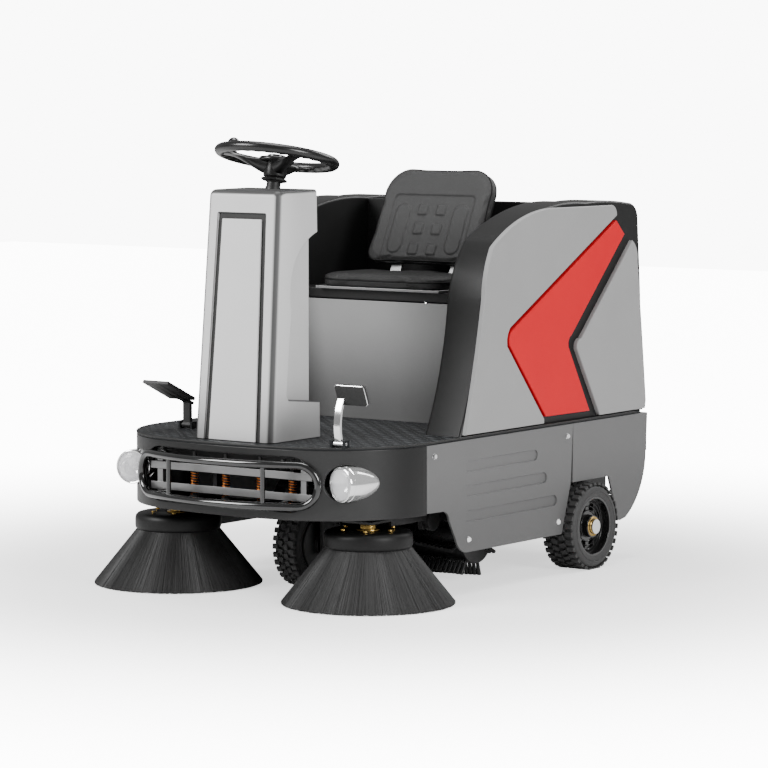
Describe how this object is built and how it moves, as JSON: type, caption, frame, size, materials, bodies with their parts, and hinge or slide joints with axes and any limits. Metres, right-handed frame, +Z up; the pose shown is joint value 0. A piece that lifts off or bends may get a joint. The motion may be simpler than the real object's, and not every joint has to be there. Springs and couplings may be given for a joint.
{
  "type": "ride on sweeper",
  "caption": "Ride-on floor sweeper with side brushes, roller brush, steering tower, seat and pull-out hopper.",
  "frame": {"origin": "on the floor, under the middle of the machine's box", "axes": "+Z up, -Y the way the machine drives forwards, +X its right side when seen from the front camera"},
  "size_m": [1.1939, 1.6119, 1.3151],
  "materials": {
    "frame_steel": "satin black paint",
    "band_black": "fine grained black paint",
    "tread_plate": "dark tread plate",
    "cover_grey": "grained grey paint",
    "body_grey": "grained grey moulding",
    "stripe_red": "grained red moulding",
    "fender_dark": "dark grained moulding",
    "tower_grey": "light grey moulding",
    "seat_silver": "satin",
    "bright_steel": "bright",
    "guard_gloss": "gloss black tube",
    "wheel_black": "soft black moulding",
    "vinyl_black": "grained vinyl",
    "rubber_black": "matt",
    "tyre_black": "matt",
    "rim_black": "gloss black",
    "bristle_grey": "dense nylon bristles",
    "lamp_chrome": "bright moulded",
    "lamp_glass": "clear",
    "machine_black": "plain",
    "battery_case": "plain",
    "filter_paper": "pleated paper",
    "hopper_black": "moulded"
  },
  "bodies": {
    "chassis": {"chassis_frame": "frame_steel", "front_band": "band_black", "grille_slats": "seat_silver", "deck_plate": "tread_plate", "left_side_cover": "cover_grey", "right_side_cover": "cover_grey", "cover_bolts": "bright_steel", "rear_skirt": "cover_grey", "left_fender": "fender_dark", "right_fender": "fender_dark", "left_front_panel": "body_grey", "right_front_panel": "body_grey", "left_stripe": "stripe_red", "right_stripe": "stripe_red", "left_rear_panel": "body_grey", "right_rear_panel": "body_grey", "rear_top_cover": "fender_dark", "seat_box_panel": "seat_silver", "tower_shell": "tower_grey", "tower_front_panel": "tower_grey", "steering_chain": "frame_steel", "stub_axles": "bright_steel", "brush_hood": "frame_steel", "battery_pack": "battery_case", "dust_filter": "filter_paper", "vacuum_fan": "machine_black", "headlight_housings": "lamp_chrome", "headlight_lenses": "lamp_glass", "bumper_guard": "guard_gloss"},
    "steering": {"steering_wheel": "wheel_black", "steering_shaft": "machine_black"},
    "knob": {"spinner_knob": "wheel_black"},
    "lower_column": {"lower_shaft": "frame_steel"},
    "fork": {"front_fork": "frame_steel"},
    "front_wheel": {"front_tyre": "tyre_black", "hub_motor": "machine_black"},
    "left_rear_wheel": {"left_rear_tyre": "tyre_black", "left_rear_rim": "rim_black"},
    "right_rear_wheel": {"right_rear_tyre": "tyre_black", "right_rear_rim": "rim_black"},
    "left_arm": {"left_brush_arm": "frame_steel", "left_brush_motor": "machine_black"},
    "right_arm": {"right_brush_arm": "frame_steel", "right_brush_motor": "machine_black"},
    "left_brush": {"left_brush_cap": "wheel_black", "left_brush_bristles": "bristle_grey"},
    "right_brush": {"right_brush_cap": "wheel_black", "right_brush_bristles": "bristle_grey"},
    "main_arms": {"main_brush_arms": "frame_steel"},
    "main_brush": {"main_brush_core": "wheel_black", "main_brush_bristles": "bristle_grey"},
    "accelerator": {"accelerator_lever": "bright_steel", "accelerator_pad": "rubber_black"},
    "brake": {"brake_pedal": "frame_steel"},
    "seat": {"seat_base": "fender_dark", "seat_plate": "seat_silver", "seat_cushion": "vinyl_black", "seat_backrest": "vinyl_black"},
    "door": {"rear_door": "body_grey"},
    "hopper_tray": {"hopper": "hopper_black"}
  },
  "joints": [
    {"name": "fork_steer", "type": "hinge", "parent": "chassis", "child": "fork", "pos_m": [0, -0.33, 0.35], "axis": [0, 0, 1], "range_deg": [-60, 60]},
    {"name": "steering_turn", "type": "hinge", "parent": "chassis", "child": "steering", "pos_m": [0, -0.48, 1.26], "axis": [0, 0.2147, 0.9767], "range_deg": [-150, 150]},
    {"name": "lower_shaft_turn", "type": "hinge", "parent": "chassis", "child": "lower_column", "pos_m": [0, -0.559, 0.6], "axis": [0, 0, 1], "range_deg": [-150, 150]},
    {"name": "knob_spin", "type": "hinge", "parent": "steering", "child": "knob", "pos_m": [-0.165, -0.48, 1.26], "axis": [0, 0.2147, 0.9767], "continuous": true},
    {"name": "front_wheel_spin", "type": "hinge", "parent": "fork", "child": "front_wheel", "pos_m": [0, -0.33, 0.125], "axis": [1, 0, 0], "continuous": true},
    {"name": "left_rear_wheel_spin", "type": "hinge", "parent": "chassis", "child": "left_rear_wheel", "pos_m": [-0.46, 0.43, 0.13], "axis": [1, 0, 0], "continuous": true},
    {"name": "right_rear_wheel_spin", "type": "hinge", "parent": "chassis", "child": "right_rear_wheel", "pos_m": [0.46, 0.43, 0.13], "axis": [1, 0, 0], "continuous": true},
    {"name": "left_brush_lift", "type": "hinge", "parent": "chassis", "child": "left_arm", "pos_m": [-0.393, -0.27, 0.215], "axis": [-1, 0, 0], "range_deg": [0, 5]},
    {"name": "right_brush_lift", "type": "hinge", "parent": "chassis", "child": "right_arm", "pos_m": [0.393, -0.27, 0.215], "axis": [-1, 0, 0], "range_deg": [0, 5]},
    {"name": "left_brush_spin", "type": "hinge", "parent": "left_arm", "child": "left_brush", "pos_m": [-0.347, -0.512, 0.2], "axis": [0, 0, 1], "continuous": true},
    {"name": "right_brush_spin", "type": "hinge", "parent": "right_arm", "child": "right_brush", "pos_m": [0.347, -0.512, 0.2], "axis": [0, 0, 1], "continuous": true},
    {"name": "main_brush_lift", "type": "hinge", "parent": "chassis", "child": "main_arms", "pos_m": [0, 0.25, 0.25], "axis": [-1, 0, 0], "range_deg": [0, 8]},
    {"name": "main_brush_spin", "type": "hinge", "parent": "main_arms", "child": "main_brush", "pos_m": [0, 0.07, 0.128], "axis": [1, 0, 0], "continuous": true},
    {"name": "accelerator_press", "type": "hinge", "parent": "chassis", "child": "accelerator", "pos_m": [0.352, -0.655, 0.468], "axis": [1, 0, 0], "range_deg": [0, 15], "stiffness_Nm_per_rad": 4, "springref_deg": -20.05},
    {"name": "brake_press", "type": "hinge", "parent": "chassis", "child": "brake", "pos_m": [-0.32, -0.5, 0.468], "axis": [1, 0, 0], "range_deg": [0, 14], "stiffness_Nm_per_rad": 12, "springref_deg": -20.05},
    {"name": "seat_tip", "type": "hinge", "parent": "chassis", "child": "seat", "pos_m": [0, 0.032, 0.833], "axis": [1, 0, 0], "range_deg": [0, 60]},
    {"name": "rear_door_swing", "type": "hinge", "parent": "chassis", "child": "door", "pos_m": [-0.335, 0.775, 0.73], "axis": [0, 0, 1], "range_deg": [0, 100]},
    {"name": "hopper_slide", "type": "slide", "parent": "chassis", "child": "hopper_tray", "axis": [0, 1, 0], "range_m": [0, 0.35]}
  ],
  "couplings": [
    {"joint": "steering_turn", "follows": "fork_steer", "ratio": 2.5},
    {"joint": "lower_shaft_turn", "follows": "fork_steer", "ratio": 2.5}
  ]
}
